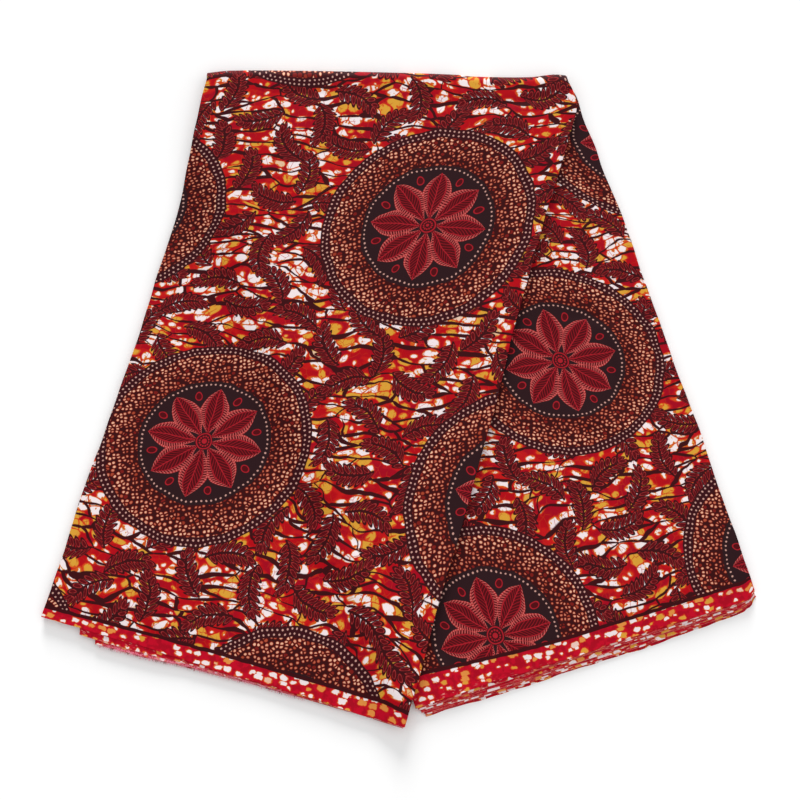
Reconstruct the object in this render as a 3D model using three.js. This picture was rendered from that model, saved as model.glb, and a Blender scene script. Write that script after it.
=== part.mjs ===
// A six-yard wax print cloth, folded for sale and laid flat.
//
// The cloth is pleated along its length into a strip of sixteen layers, as long as the cloth is wide,
// with a selvedge at each end. The strip is then turned over its own middle on a slanting line, so its
// two halves fan out as legs: the left leg lies on top and the right leg lies underneath.
//
// Millimetres. +X runs to the right of the legs, +Y from the selvedges towards the fold, +Z up.
// The origin is on the surface that the cloth lies on, under the middle of its outline.
import * as THREE from "three";

// ---------------------------------------------------------------- driving sizes
const CLOTH_LENGTH = 5486; // six yards
const LAYERS = 16;
const STRIP_WIDTH = CLOTH_LENGTH / LAYERS;

const LEG_HEIGHT = 8; // sixteen layers with the air between them
const WALL = 1; // an outermost layer, as a wall
const GAP = 0.3; // between two pieces

const LEAF_DEPTH = 45; // how far a loose selvedge leaf runs back into its leg
const LEAVES_PER_LEG = 3; // the leaves that fit between the two walls of a leg
const NOSES = 4; // rounded bundles of folded edges on each side of the hidden layers
const NOSE = { dip: 1.2, root: 1.8 }; // from the leg's side to the dips between them, and to their roots

// Past the edge of the right leg, the left leg stays level as far as "start", and then comes down to
// the surface over "width".
const SAG = { atFold: { start: 18, width: 60 }, atSelvedge: { start: 6, width: 42 } };

const COLUMNS = { left: 16, right: 8 }; // facets across a leg
const FOLD_STEPS = 8; // facets round the fold
const CLOTH_RED = "#8e1420";
const SELVEDGE_RED = "#c3142a";
const INNER_RED = "#5d1420";

// Sections across each leg. "down" is the share of the leg's own length from the fold to its selvedge,
// and the section runs straight from the leg's left side to its right side.
const LEFT_LEG = [
  { down: 0.0, leftX: -186, leftY: 303, rightX: 162, rightY: 299 },
  { down: 0.05, leftX: -193, leftY: 278, rightX: 166, rightY: 269 },
  { down: 0.1, leftX: -198, leftY: 252, rightX: 160, rightY: 240 },
  { down: 0.25, leftX: -212, leftY: 174, rightX: 134, rightY: 150 },
  { down: 0.5, leftX: -250, leftY: 46, rightX: 92, rightY: -5 },
  { down: 0.75, leftX: -291, leftY: -83, rightX: 49, rightY: -160 },
  { down: 1.0, leftX: -332, leftY: -213, rightX: 4, rightY: -315 },
];
const RIGHT_LEG = [
  { down: 0.0, leftX: -186, leftY: 303, rightX: 162, rightY: 299 },
  { down: 0.25, leftX: -132, leftY: 152, rightX: 207, rightY: 181 },
  { down: 0.5, leftX: -83, leftY: 2, rightX: 249, rightY: 57 },
  { down: 0.75, leftX: -34, leftY: -147, rightX: 290, rightY: -69 },
  { down: 1.0, leftX: 15, leftY: -297, rightX: 332, rightY: -195 },
];

// How far each loose leaf shows beyond the top layer's selvedge, from one side of the leg to the other.
const LEFT_LEAVES = [
  { name: "left_selvedge_2", reach: [{ across: 0.11, by: 4.5 }, { across: 0.5, by: 2 }, { across: 1, by: 1 }] },
  { name: "left_selvedge_3", reach: [{ across: 0.15, by: 9 }, { across: 0.55, by: 3 }, { across: 1, by: 1.5 }] },
];
const RIGHT_LEAVES = [
  { name: "right_selvedge_2", reach: [{ across: 0, by: 3 }, { across: 0.95, by: 5 }, { across: 1, by: 1 }] },
  { name: "right_selvedge_3", reach: [{ across: 0, by: 6 }, { across: 0.5, by: 7 }, { across: 0.97, by: 7 }] },
  { name: "right_selvedge_4", reach: [{ across: 0, by: 9 }, { across: 0.4, by: 9.5 }, { across: 0.96, by: 9 }] },
];
const RIGHT_UNDERSIDE_REACH = [{ across: 0, by: 11.5 }, { across: 0.5, by: 11 }, { across: 1, by: 9 }];

// ---------------------------------------------------------------- heights from the folding plane
// Each leg is measured from the plane where the two legs meet: up through the left leg, and down
// through the right one. A layer keeps its distance from that plane all the way round the fold.
const INNER = { from: GAP / 2, to: GAP / 2 + WALL };
const OUTER = { from: LEG_HEIGHT - WALL, to: LEG_HEIGHT };
const HIDDEN = { from: INNER.to + GAP, to: OUTER.from - GAP };
const LEAF_WALL = (HIDDEN.to - HIDDEN.from - GAP * (LEAVES_PER_LEG - 1)) / LEAVES_PER_LEG;
const LEG_LENGTH = 588; // of the legs' centre lines, for turning millimetres into shares of a leg
const LEAF_START = 1 - LEAF_DEPTH / LEG_LENGTH;
const NEAR_SELVEDGE = 1 - 6 / LEG_LENGTH;
const GAP_SHARE = GAP / LEG_LENGTH;

// ---------------------------------------------------------------- tables
// A smooth value of one column of a table, at a given value of its first column.
function tableValue(rows, key, column, at) {
  const last = rows.length - 1;
  let i = 0;
  while (i < last - 1 && at > rows[i + 1][key]) i += 1;
  const slope = (k) => {
    const [a, b] = [rows[Math.max(k - 1, 0)], rows[Math.min(k + 1, last)]];
    return (b[column] - a[column]) / (b[key] - a[key]);
  };
  const [p, q] = [rows[i], rows[i + 1]];
  const span = q[key] - p[key];
  const t = (at - p[key]) / span;
  const [t2, t3] = [t * t, t * t * t];
  return (
    (2 * t3 - 3 * t2 + 1) * p[column] +
    (t3 - 2 * t2 + t) * span * slope(i) +
    (3 * t2 - 2 * t3) * q[column] +
    (t3 - t2) * span * slope(i + 1)
  );
}

function straightValue(rows, key, column, at) {
  let i = 0;
  while (i < rows.length - 2 && at > rows[i + 1][key]) i += 1;
  const [p, q] = [rows[i], rows[i + 1]];
  const t = THREE.MathUtils.clamp((at - p[key]) / (q[key] - p[key]), 0, 1);
  return THREE.MathUtils.lerp(p[column], q[column], t);
}

// ---------------------------------------------------------------- where a point of the strip lies
function legPoint(leg, down, across) {
  const side = (name) => tableValue(leg, "down", name, down);
  const left = new THREE.Vector2(side("leftX"), side("leftY"));
  const right = new THREE.Vector2(side("rightX"), side("rightY"));
  return left.lerp(right, across);
}

// The same, carried on past the selvedge by a distance along the leg.
function reachedPoint(leg, down, across, by) {
  const point = legPoint(leg, down, across);
  const before = legPoint(leg, down - 0.01, across);
  const along = point.clone().sub(before).normalize();
  return point.addScaledVector(along, by);
}

// How far the left leg has come down, past the hidden left side of the right leg.
function sag(point, down) {
  const [first, last] = [RIGHT_LEG[0], RIGHT_LEG[RIGHT_LEG.length - 1]];
  const top = new THREE.Vector2(first.leftX, first.leftY);
  const edge = new THREE.Vector2(last.leftX, last.leftY).sub(top).normalize();
  const past = edge.cross(point.clone().sub(top)) * -1;
  const start = THREE.MathUtils.lerp(SAG.atFold.start, SAG.atSelvedge.start, down);
  const width = THREE.MathUtils.lerp(SAG.atFold.width, SAG.atSelvedge.width, down);
  return (LEG_HEIGHT + INNER.from) * THREE.MathUtils.smoothstep(past - start, 0, width);
}

function placeOnLeft(down, across, radius, by = 0) {
  const point = by ? reachedPoint(LEFT_LEG, down, across, by) : legPoint(LEFT_LEG, down, across);
  return new THREE.Vector3(point.x, point.y, LEG_HEIGHT + radius - sag(point, down));
}

function placeOnRight(down, across, radius, by = 0) {
  const point = by ? reachedPoint(RIGHT_LEG, down, across, by) : legPoint(RIGHT_LEG, down, across);
  return new THREE.Vector3(point.x, point.y, LEG_HEIGHT - radius);
}

// "turn" runs from 90 degrees, where the left leg leaves the fold, to -90, where the right one does.
function placeOnFold(turn, across, radius) {
  const angle = THREE.MathUtils.degToRad(turn);
  const point = legPoint(LEFT_LEG, 0, across);
  return new THREE.Vector3(point.x, point.y + radius * Math.cos(angle), LEG_HEIGHT + radius * Math.sin(angle));
}

// ---------------------------------------------------------------- closed bodies from sections
// A body from closed sections with equal numbers of points, always in the order from the left leg's
// selvedge over the fold to the right leg's. "layout" is one section laid out flat, and "across" says
// how many of its points lie on its upper side.
function sweptBody(sections, layout, across) {
  const count = sections[0].length;
  const positions = sections.flat().flatMap((p) => [p.x, p.y, p.z]);
  const index = [];
  for (let s = 0; s < sections.length - 1; s += 1) {
    for (let i = 0; i < count; i += 1) {
      const next = (i + 1) % count;
      const [a, b] = [s * count + i, s * count + next];
      // One diagonal on the sides that run to the right, and the other on those that run back, so that
      // facets which face each other across a gap have the same creases.
      if (layout[next].x > layout[i].x) index.push(a, b, a + count, b, b + count, a + count);
      else index.push(a, b, b + count, a, b + count, a + count);
    }
  }
  const lastStart = (sections.length - 1) * count;
  for (const [a, b, c] of endTriangles(layout, across)) {
    index.push(a, c, b, lastStart + a, lastStart + b, lastStart + c);
  }
  const geometry = new THREE.BufferGeometry();
  geometry.setAttribute("position", new THREE.Float32BufferAttribute(positions, 3));
  geometry.setIndex(index);
  return facingOut(geometry);
}

// The triangles that fill one end, in the order of the section's points: a strip between its upper and
// lower sides, which may sag, and a small polygon at each stack of folded edges.
function endTriangles(layout, across) {
  const count = layout.length;
  const side = (count - 2 * across) / 2;
  const triangles = [];
  for (let i = 0; i < across - 1; i += 1) {
    const under = count - side - 1 - i;
    triangles.push([i, i + 1, under], [i + 1, under - 1, under]);
  }
  if (side === 0) return triangles;
  for (const start of [across - 1, count - side - 1]) {
    const ids = Array.from({ length: side + 2 }, (_, i) => (start + i) % count);
    const polygon = ids.map((id) => layout[id]);
    // The triangles come back anticlockwise, whichever way round the polygon's points run.
    const clockwise = THREE.ShapeUtils.isClockWise(polygon);
    for (const [a, p, q] of THREE.ShapeUtils.triangulateShape(polygon, [])) {
      const [b, c] = clockwise ? [q, p] : [p, q];
      triangles.push([ids[a], ids[b], ids[c]]);
    }
  }
  return triangles;
}

// Turns every triangle round when the body's signed volume says that they face inwards.
function facingOut(geometry) {
  const position = geometry.getAttribute("position");
  const index = geometry.getIndex().array;
  const corner = (i) => new THREE.Vector3().fromBufferAttribute(position, index[i]);
  let volume = 0;
  for (let i = 0; i < index.length; i += 3) {
    volume += corner(i).dot(corner(i + 1).cross(corner(i + 2)));
  }
  if (volume < 0) {
    for (let i = 0; i < index.length; i += 3) {
      [index[i + 1], index[i + 2]] = [index[i + 2], index[i + 1]];
    }
  }
  geometry.computeVertexNormals();
  return geometry;
}

const evenSteps = (steps) => Array.from({ length: steps + 1 }, (_, i) => i / steps);

// The points round a wall's section: across its outer side, then back across its inner side.
function wallRing(columns, place, outer, inner) {
  const there = columns.map((across) => place(across, outer));
  const back = [...columns].reverse().map((across) => place(across, inner));
  return [...there, ...back];
}

function wallBody(columns, stations, range) {
  const sections = stations.map((place) => wallRing(columns, place, range.to, range.from));
  const flat = (across, radius) => new THREE.Vector2(across * STRIP_WIDTH, radius);
  return sweptBody(sections, wallRing(columns, flat, range.to, range.from), columns.length);
}

// The same for the hidden layers, whose two sides are stacks of rounded folded edges.
function layeredRing(columns, place, range) {
  const root = NOSE.root / STRIP_WIDTH;
  const height = range.to - range.from;
  const inner = columns.map((across) => THREE.MathUtils.clamp(across, root, 1 - root));
  const steps = evenSteps(NOSES * 2).slice(1, -1);
  const noseAt = (k) => (k % 2 === 0 ? 0 : NOSE.dip / STRIP_WIDTH);
  const rightSide = steps.map((share, k) => place(1 - noseAt(k), range.to - share * height));
  const leftSide = steps.map((share, k) => place(noseAt(k), range.from + share * height));
  const top = inner.map((across) => place(across, range.to));
  const bottom = [...inner].reverse().map((across) => place(across, range.from));
  return [...top, ...rightSide, ...bottom, ...leftSide];
}

// ---------------------------------------------------------------- stations along the strip
const leftStations = [0.86, 0.8, 0.74, 0.67, 0.6, 0.53, 0.46, 0.38, 0.3, 0.22, 0.15, 0.1, 0.075, 0.05, 0.025];
const rightStations = [0.06, 0.13, 0.25, 0.37, 0.5, 0.62, 0.75, 0.85];
const foldTurns = evenSteps(FOLD_STEPS).map((share) => 90 - 180 * share);

const onLeft = (down) => (across, radius) => placeOnLeft(down, across, radius);
const onRight = (down) => (across, radius) => placeOnRight(down, across, radius);
const onFold = (turn) => (across, radius) => placeOnFold(turn, across, radius);

// ---------------------------------------------------------------- pieces
const cloth = (color) => new THREE.MeshStandardMaterial({ color, roughness: 0.75, metalness: 0 });

function piece(name, geometry, color) {
  const mesh = new THREE.Mesh(geometry, cloth(color));
  mesh.name = name;
  return mesh;
}

// The layer on top of the left leg, with the stretch that rolls over the fold.
function leftLegFace() {
  const stations = [1, NEAR_SELVEDGE, LEAF_START, ...leftStations].map(onLeft);
  const columns = evenSteps(COLUMNS.left);
  return piece("left_leg_face", wallBody(columns, [...stations, ...foldTurns.map(onFold)], OUTER), CLOTH_RED);
}

// The same layer on its way back under the right leg, where it lies on the surface.
function rightLegUnderside() {
  const reach = (across) => straightValue(RIGHT_UNDERSIDE_REACH, "across", "by", across);
  const selvedge = (across, radius) => placeOnRight(1, across, radius, reach(across));
  const stations = [GAP_SHARE, ...rightStations, LEAF_START].map(onRight);
  const columns = evenSteps(COLUMNS.right);
  return piece("right_leg_underside", wallBody(columns, [...stations, selvedge], OUTER), CLOTH_RED);
}

// The innermost layer: on top of the right leg, and turned up inside the fold.
function rightLegFace() {
  const stations = [...foldTurns.map(onFold), ...[...rightStations, LEAF_START, 1].map(onRight)];
  return piece("right_leg_face", wallBody(evenSteps(COLUMNS.right), stations, INNER), CLOTH_RED);
}

// The same layer under the left leg: over the right leg first, then down to the surface.
function leftLegUnderside() {
  const stations = [1, NEAR_SELVEDGE, LEAF_START, ...leftStations, GAP_SHARE].map(onLeft);
  return piece("left_leg_underside", wallBody(evenSteps(COLUMNS.left), stations, INNER), CLOTH_RED);
}

// The fourteen layers between, as one body round the fold. On the right leg it stops behind the loose
// leaves, and on the left leg a thinner tongue of it runs on underneath them.
function hiddenLayers() {
  const tongue = { from: HIDDEN.from, to: HIDDEN.from + LEAF_WALL };
  const ring = (place, range) => layeredRing(evenSteps(COLUMNS.left), place, range);
  const sections = [
    ring(onLeft(1), tongue),
    ring(onLeft(NEAR_SELVEDGE), tongue),
    ring(onLeft(LEAF_START), tongue),
    ring(onLeft(LEAF_START - GAP_SHARE), HIDDEN),
    ...leftStations.map((down) => ring(onLeft(down), HIDDEN)),
    ...foldTurns.map((turn) => ring(onFold(turn), HIDDEN)),
    ...rightStations.map((down) => ring(onRight(down), HIDDEN)),
    ring(onRight(LEAF_START - GAP_SHARE), HIDDEN),
  ];
  const flat = (across, radius) => new THREE.Vector2(across * STRIP_WIDTH, radius);
  return piece("hidden_layers", sweptBody(sections, ring(flat, HIDDEN), COLUMNS.left + 1), INNER_RED);
}

// A loose leaf at a selvedge: it starts behind the end of the hidden layers and shows beyond the top layer.
function selvedgeLeaf(leaf, columnCount, placeOnLeg, level) {
  const [first, last] = [leaf.reach[0].across, leaf.reach[leaf.reach.length - 1].across];
  const columns = [first, ...evenSteps(columnCount).filter((a) => a > first && a < last), last];
  const reach = (across) => straightValue(leaf.reach, "across", "by", across);
  const stations = [LEAF_START + GAP_SHARE, NEAR_SELVEDGE, 1].map(
    (down) => (across, radius) => placeOnLeg(down, across, radius),
  );
  const selvedge = (across, radius) => placeOnLeg(1, across, radius, reach(across));
  const fromFold = [...stations, selvedge];
  const ordered = placeOnLeg === placeOnLeft ? fromFold.reverse() : fromFold;
  return piece(leaf.name, wallBody(columns, ordered, level), SELVEDGE_RED);
}

// The left leg's leaves hang from its top layer down, and the right leg's from its innermost layer.
const leafPitch = LEAF_WALL + GAP;
const leftLevel = (k) => ({ from: HIDDEN.to - k * leafPitch - LEAF_WALL, to: HIDDEN.to - k * leafPitch });
const rightLevel = (k) => ({ from: HIDDEN.from + k * leafPitch, to: HIDDEN.from + k * leafPitch + LEAF_WALL });

const fabric = new THREE.Group();
fabric.add(leftLegFace(), rightLegUnderside(), rightLegFace(), leftLegUnderside(), hiddenLayers());
LEFT_LEAVES.forEach((leaf, k) => fabric.add(selvedgeLeaf(leaf, COLUMNS.left, placeOnLeft, leftLevel(k))));
RIGHT_LEAVES.forEach((leaf, k) => fabric.add(selvedgeLeaf(leaf, COLUMNS.right, placeOnRight, rightLevel(k))));

// The pieces move together so that the middle of their outline is over the origin.
const middle = new THREE.Box3().setFromObject(fabric).getCenter(new THREE.Vector3());
fabric.position.set(-middle.x, -middle.y, 0);

export default fabric;
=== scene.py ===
# %% [markdown]
# # A six-yard wax print, folded for sale
#
# Wax print is sold in lengths of six yards. A seller pleats the length into a long flat strip of
# sixteen layers, which is as long as the cloth is wide, and turns the strip over its own middle. Two
# legs fan out from the fold, the left one on top, and each leg ends at a selvedge.
#
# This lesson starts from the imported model, which holds the size and the place of every stretch of the
# cloth, and makes each stretch again as thin cotton, with its creases, its folded edges and its print.

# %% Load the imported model
import math

import bpy
import numpy as np
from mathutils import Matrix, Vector


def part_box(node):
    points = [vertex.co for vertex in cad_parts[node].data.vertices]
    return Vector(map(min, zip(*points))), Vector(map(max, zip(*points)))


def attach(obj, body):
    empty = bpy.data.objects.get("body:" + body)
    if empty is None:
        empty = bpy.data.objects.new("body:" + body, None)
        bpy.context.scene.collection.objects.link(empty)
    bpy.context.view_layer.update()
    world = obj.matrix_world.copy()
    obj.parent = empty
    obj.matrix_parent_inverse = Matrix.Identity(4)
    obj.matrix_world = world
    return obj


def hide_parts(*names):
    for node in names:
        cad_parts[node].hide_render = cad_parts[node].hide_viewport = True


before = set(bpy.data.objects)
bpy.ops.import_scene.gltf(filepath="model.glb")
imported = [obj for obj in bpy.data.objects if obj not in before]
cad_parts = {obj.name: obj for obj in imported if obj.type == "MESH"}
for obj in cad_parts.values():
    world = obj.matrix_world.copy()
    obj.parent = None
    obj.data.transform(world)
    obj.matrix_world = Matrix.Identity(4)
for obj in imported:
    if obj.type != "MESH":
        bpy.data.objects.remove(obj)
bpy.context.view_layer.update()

# %% [markdown]
# ## The camera
#
# A folded cloth is shown from nearly straight above. The camera stands 2 m away, 80 degrees up, on the
# side of the two selvedges, with a long lens, so the legs widen only a little towards the viewer.

# %% Camera
MM = 0.001
CAMERA_ELEVATION = math.radians(80)
CAMERA_DISTANCE = 2.0
VIEW_WIDTH = 0.756  # how much of the table the picture takes in at that distance, in metres
AIM = (-0.0014, -0.0063, 0.0)

camera_data = bpy.data.cameras.new("camera")
camera_data.sensor_width = 36.0
camera_data.lens = camera_data.sensor_width * CAMERA_DISTANCE / VIEW_WIDTH
camera = bpy.data.objects.new("camera", camera_data)
camera.location = (
    AIM[0],
    AIM[1] - CAMERA_DISTANCE * math.cos(CAMERA_ELEVATION),
    CAMERA_DISTANCE * math.sin(CAMERA_ELEVATION),
)
camera.rotation_euler = (math.radians(90) - CAMERA_ELEVATION, 0, 0)
bpy.context.scene.collection.objects.link(camera)
bpy.context.scene.camera = camera
print(f"lens {camera_data.lens:.1f} mm at {CAMERA_DISTANCE} m")

# %% [markdown]
# ## Where the strip lies
#
# Every layer follows the same path: up the left leg from its selvedge, round the fold, and down the
# right leg. So the path is written down once, as two short tables of the legs' sides, and each layer
# is only a distance from the plane where the two legs meet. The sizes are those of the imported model.

# %% Sizes and the two legs, in millimetres
STRIP_WIDTH = 342.9
CLOTH_WIDTH = 1190.0  # from selvedge to selvedge
LEG_LENGTH = 588.0
FOLD_LENGTH = CLOTH_WIDTH - 2 * LEG_LENGTH
LEG_HEIGHT = 8.0
CLEAR = 0.15  # from the plane where the legs meet to each of them
SAG_START = {"fold": 18.0, "selvedge": 6.0}
SAG_WIDTH = {"fold": 60.0, "selvedge": 42.0}


def table(columns, *rows):
    """A short table as one array for each named column."""
    return {name: np.array(values, float) for name, values in zip(columns, zip(*rows))}


SIDES = ("down", "left_x", "left_y", "right_x", "right_y")
LEFT_LEG = table(
    SIDES,
    (0.00, -186, 303, 162, 299),
    (0.05, -193, 278, 166, 269),
    (0.10, -198, 252, 160, 240),
    (0.25, -212, 174, 134, 150),
    (0.50, -250, 46, 92, -5),
    (0.75, -291, -83, 49, -160),
    (1.00, -332, -213, 4, -315),
)
RIGHT_LEG = table(
    SIDES,
    (0.00, -186, 303, 162, 299),
    (0.25, -132, 152, 207, 181),
    (0.50, -83, 2, 249, 57),
    (0.75, -34, -147, 290, -69),
    (1.00, 15, -297, 332, -195),
)
# How far the turned edge at the fold wanders from a straight line.
FOLD_EDGE = table(
    ("across", "out"),
    (0.00, -0.5),
    (0.06, 2.0),
    (0.25, 2.7),
    (0.53, 1.8),
    (0.70, 0.3),
    (0.74, -1.2),
    (0.90, -1.2),
    (0.97, 1.8),
    (1.00, 1.0),
)

face_low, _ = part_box("left_leg_face")
MIDDLE = np.array(
    [face_low.x / MM - LEFT_LEG["left_x"].min(), face_low.y / MM - LEFT_LEG["right_y"].min(), 0.0]
)
print("the tables move by", MIDDLE.round(2), "mm to the part's origin")


# %% Smooth values and the legs' sides
def smooth_step(x, start, end):
    t = np.clip((x - start) / (end - start), 0, 1)
    return t * t * (3 - 2 * t)


def smooth_value(keys, values, at):
    """A cubic through the values, with the slope of each point's neighbours."""
    last = len(keys) - 1
    before, after = np.maximum(np.arange(last + 1) - 1, 0), np.minimum(np.arange(last + 1) + 1, last)
    slopes = (values[after] - values[before]) / (keys[after] - keys[before])
    i = np.clip(np.searchsorted(keys, at, side="right") - 1, 0, last - 1)
    span = keys[i + 1] - keys[i]
    t = (at - keys[i]) / span
    start = (2 * t**3 - 3 * t**2 + 1) * values[i] + (t**3 - 2 * t**2 + t) * span * slopes[i]
    end = (3 * t**2 - 2 * t**3) * values[i + 1] + (t**3 - t**2) * span * slopes[i + 1]
    return start + end


def leg_side(leg, side, down):
    x = smooth_value(leg["down"], leg[side + "_x"], down)
    y = smooth_value(leg["down"], leg[side + "_y"], down)
    return np.stack([x, y], axis=-1)


def unit(vectors):
    return vectors / np.linalg.norm(vectors, axis=-1, keepdims=True)


def ripples(x, phase, *rows):
    """Sine waves added up. Each row has a height, a length and how many times the phase it starts at."""
    return sum(height * np.sin(x / length + times * phase) for height, length, times in rows)


def hump(x, height, middle, width):
    """A smooth hump of that height round the middle."""
    return height * np.exp(-(((x - middle) / width) ** 2))


# %% Small waves of the folded sides, shared by all layers
# Humps of the right side near the fold: height, middle and width in millimetres. The corners stand out
# on both legs, the turn between them is drawn in, and the right leg bulges a little further down.
CORNER_HUMP = (4.6, 24, 20)
TURN_HUMP = (-2.2, 0, 10)
RIGHT_LEG_HUMP = (2.4, 78, 26)


def side_waves(along, side):
    """Millimetres outwards at a distance along the strip. side is -1 for the left and 1 for the right."""
    turn = 1.9 * side
    waves = ripples(along, turn, (0.7, 41, 1), (0.45, 19, 2.7))
    waves = waves + ripples(along, turn, (0.25, 7.3, 4.1)) * np.sin(along / 53 + turn)
    past_fold = along - CLOTH_WIDTH / 2
    from_fold = np.abs(past_fold)
    humps = hump(from_fold, *CORNER_HUMP) + hump(from_fold, *TURN_HUMP) + hump(past_fold, *RIGHT_LEG_HUMP)
    return waves + np.where(side > 0, humps, 0)


# %% [markdown]
# ## Creases
#
# Cotton that has been pleated, turned over and patted flat is never quite smooth. Each crease here is
# placed as a line on the strip, with its own width, height and bow. Height above nought is a
# ridge and below is a trough, and each one fades out towards its ends. Long low swells lie under them.
# A simulation would give creases too, but not in chosen places, and a flat fold has few of them.

# %% The creases of each leg, in millimetres
# "across" is measured from the strip's left side, and "down" from the fold towards the selvedge.
CREASE = ("across_1", "down_1", "across_2", "down_2", "width", "height", "bow")
LEFT_CREASES = table(
    CREASE,
    (14, 24, 172, 17, 6, -1.0, 3),
    (196, 26, 334, 12, 5, -1.2, -4),
    (40, 46, 96, 60, 8, 0.7, 3),
    (58, 84, 82, 318, 9, 1.2, 6),
    (252, 92, 226, 292, 11, 1.0, -7),
    (300, 60, 322, 214, 6, -0.9, 5),
    (128, 286, 232, 392, 8, -1.0, 9),
    (22, 402, 134, 380, 7, 0.9, -5),
    (178, 424, 312, 476, 9, -1.2, 8),
    (66, 452, 104, 574, 8, 1.2, -6),
    (236, 486, 268, 585, 9, 1.3, 6),
    (306, 352, 331, 548, 7, 1.2, 4),
    (150, 500, 176, 580, 6, -0.9, 3),
    (16, 190, 34, 300, 5, -0.7, -3),
)
RIGHT_CREASES = table(
    CREASE,
    (296, 30, 330, 180, 6, -1.0, 4),
    (310, 210, 292, 372, 8, 1.2, -6),
    (246, 262, 334, 296, 7, -0.9, 6),
    (214, 352, 330, 402, 9, 0.9, -8),
    (256, 410, 242, 566, 9, 1.2, 6),
    (150, 424, 206, 574, 8, -1.0, 7),
    (300, 452, 322, 580, 6, 1.0, -4),
    (92, 486, 110, 580, 7, 1.0, 4),
    (30, 532, 54, 584, 6, -0.9, 3),
)
HIDDEN_CREASES = table(
    CREASE,
    (40, 60, 70, 300, 9, 0.5, 8),
    (290, 140, 250, 420, 9, 0.4, -9),
    (60, 430, 190, 500, 8, 0.5, 9),
    (230, 460, 300, 570, 8, 0.4, -6),
    (120, 250, 210, 330, 7, -0.4, 6),
)
# The long low swells, by the distance over which each one rises across the strip and down it.
SWELLS = table(
    ("height", "across", "down", "phase"),
    (0.30, 37, 91, 0.0),
    (0.22, -71, 46, 1.3),
    (0.12, 17, -29, 0.4),
)


def crease_height(creases, across, down):
    """Height over a flat lie at these places of the strip."""
    height = 0
    for rise, a, d, phase in zip(*SWELLS.values()):
        height = height + rise * np.sin(across / a + down / d + phase)
    for a1, d1, a2, d2, width, rise, bow in zip(*creases.values()):
        length = math.hypot(a2 - a1, d2 - d1)
        to_a, to_d = (a2 - a1) / length, (d2 - d1) / length
        share = ((across - a1) * to_a + (down - d1) * to_d) / length
        inside = np.clip(share, 0, 1)
        away = (across - a1) * to_d - (down - d1) * to_a - 4 * bow * inside * (1 - inside)
        away = away / (width * (1 + 0.35 * np.tanh(away / width)))
        height += rise * np.sin(math.pi * inside) ** 0.7 * np.exp(-away * away)
    return height


print(len(LEFT_CREASES["width"]), "creases on the left leg,", len(RIGHT_CREASES["width"]), "on the right")


# %% [markdown]
# ## From the strip to the table top
#
# One function turns places on the strip into points. It takes a path, one row for each station from
# selvedge to selvedge, and a section, one entry for each point across the layer. NumPy works on the
# whole grid at once, so that a sheet of thirty thousand points takes a few milliseconds.

# %% Places on the path
def path_rows(left=(), fold=(), right=()):
    """Stations: shares down the left leg, turns round the fold in degrees, shares down the right leg."""
    rows = [(down, 90.0, 0.0) for down in left]
    rows += [(0.0, turn, 0.0) for turn in fold]
    rows += [(down, -90.0, 1.0) for down in right]
    down, turn, on_right = np.array(rows).T
    before_fold = (1 - down) * LEG_LENGTH
    round_fold = FOLD_LENGTH * (90 - turn) / 180
    after_fold = LEG_LENGTH + FOLD_LENGTH + down * LEG_LENGTH
    along = np.where(on_right > 0, after_fold, np.where(down > 0, before_fold, LEG_LENGTH + round_fold))
    return {"down": down, "turn": np.radians(turn), "on_right": on_right, "along": along}


def sag(plan, down):
    """How far the left leg has come down, past the hidden left side of the right leg."""
    top = np.array([RIGHT_LEG["left_x"][0], RIGHT_LEG["left_y"][0]])
    edge = unit(np.array([RIGHT_LEG["left_x"][-1], RIGHT_LEG["left_y"][-1]]) - top)
    past = -(edge[0] * (plan[..., 1] - top[1]) - edge[1] * (plan[..., 0] - top[0]))
    start = SAG_START["fold"] + (SAG_START["selvedge"] - SAG_START["fold"]) * down
    width = SAG_WIDTH["fold"] + (SAG_WIDTH["selvedge"] - SAG_WIDTH["fold"]) * down
    return (LEG_HEIGHT + CLEAR) * smooth_step(past, start, start + width)


LEFT_LEG_LEAN = math.radians(15.8)  # how far the left leg's right side leans from straight down


def beside_left_leg(plan):
    """How far a place lies to the right of the left leg."""
    x = np.interp(plan[..., 1], LEFT_LEG["right_y"][::-1], LEFT_LEG["right_x"][::-1])
    return (plan[..., 0] - x) * math.cos(LEFT_LEG_LEAN)


def both_sides(is_right, down):
    """The left and the right end of each station's line across the strip."""
    return [
        np.where(is_right, leg_side(RIGHT_LEG, side, down), leg_side(LEFT_LEG, side, down))
        for side in ("left", "right")
    ]


# %% The grid of points of one layer
# Places down a leg are shares of its length, from the fold.
WANDER_ENDS = 0.06  # the fold's wandering edge is felt this far down
CREASES_FROM = 0.03  # creases have their full height from here on
PRESSED_FROM = 0.95  # where the flatter end of a leg starts
END_PRESS = 0.2  # the selvedge end of a leg is patted this much flatter
STEP_BACK = 0.01  # used to find which way the leg runs
COVERED = (2, 22)  # creases of the right leg grow over this distance beside the left one


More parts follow.
